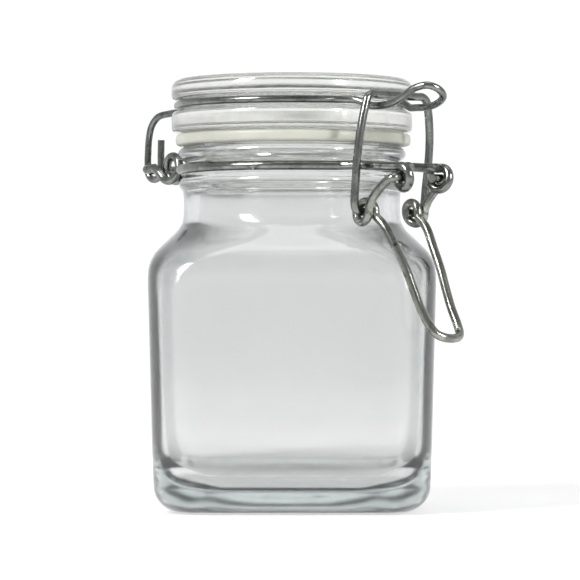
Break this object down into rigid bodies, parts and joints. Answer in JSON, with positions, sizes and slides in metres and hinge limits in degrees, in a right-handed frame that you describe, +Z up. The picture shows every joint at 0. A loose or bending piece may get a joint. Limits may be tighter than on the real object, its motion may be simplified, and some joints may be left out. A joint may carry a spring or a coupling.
{
  "type": "bail clamp jar",
  "caption": "Small square glass storage jar with a round neck, a domed glass lid on a rubber gasket, and a sprung wire clamp with a hinge at the back and a lever latch in front.",
  "frame": {"origin": "centre of the jar's flat base", "axes": "+Z up; the body's flat sides face X and Y; the latch is towards +X -Y and the hinge towards -X +Y"},
  "size_m": [0.0669, 0.0669, 0.0895],
  "materials": {
    "glass_jar": "clear pressed glass, faint blue-green edge tint",
    "glass_lid": "clear pressed glass, slightly warmer",
    "gasket": "translucent off-white, satin",
    "neck_wire": "zinc-plated, slightly dull",
    "lid_wire": "zinc-plated, slightly dull",
    "lever": "zinc-plated, slightly dull",
    "toggle_bail": "zinc-plated, slightly dull"
  },
  "bodies": {
    "jar": {"glass_jar": "glass_jar"},
    "clamp": {"neck_wire": "neck_wire"},
    "lid": {"glass_lid": "glass_lid", "gasket": "gasket", "lid_wire": "lid_wire"},
    "latch_lever": {"lever": "lever"},
    "toggle": {"toggle_bail": "toggle_bail"}
  },
  "joints": [
    {"name": "clamp_swivel", "type": "hinge", "parent": "jar", "child": "clamp", "pos_m": [0, 0, 0.0706], "axis": [0, 0, 1], "continuous": true},
    {"name": "lid_hinge", "type": "hinge", "parent": "clamp", "child": "lid", "pos_m": [-0.02546, 0.02546, 0.0714], "axis": [-0.7071, -0.7071, 0], "range_deg": [0, 105]},
    {"name": "lever_pivot", "type": "hinge", "parent": "clamp", "child": "latch_lever", "pos_m": [0.02609, -0.02609, 0.0679], "axis": [-0.7071, -0.7071, 0], "range_deg": [0, 120], "deforming": ["toggle_bail"]},
    {"name": "toggle_pivot", "type": "hinge", "parent": "latch_lever", "child": "toggle", "pos_m": [0.0198, -0.0198, 0.0611], "axis": [-0.7071, -0.7071, 0], "range_deg": [-121, 0]}
  ],
  "couplings": [
    {"joint": "toggle_pivot", "follows": "lever_pivot", "ratio": -1}
  ]
}
